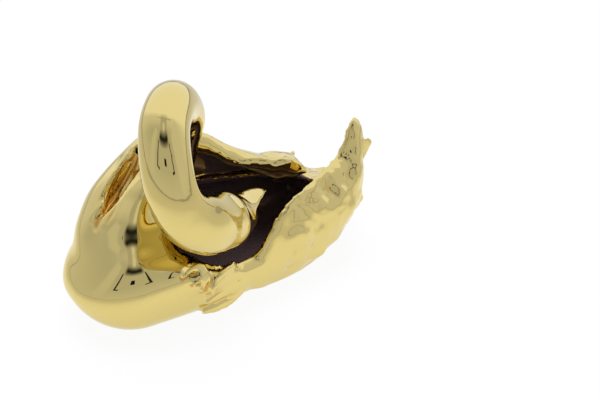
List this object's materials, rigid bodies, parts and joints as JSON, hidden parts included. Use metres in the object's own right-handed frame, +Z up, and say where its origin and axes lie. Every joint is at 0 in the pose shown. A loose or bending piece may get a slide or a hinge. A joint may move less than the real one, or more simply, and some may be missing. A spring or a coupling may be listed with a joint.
{
  "type": "swan figurine",
  "caption": "Swan figurine cast in polished gold metal, its neck looped over a hollow open back, one wing plate raised to a pointed tip.",
  "frame": {"origin": "middle of the box around the swan, on the surface that it rests on", "axes": "+Z up, +X from the breast to the tail, the swan's left side towards -Y"},
  "size_m": [0.1886, 0.0928, 0.1273],
  "materials": {
    "polished_gold": "mirror polished gold, dark inside the hollow"
  },
  "bodies": {
    "root": {"swan_figurine": "polished_gold"}
  },
  "joints": []
}
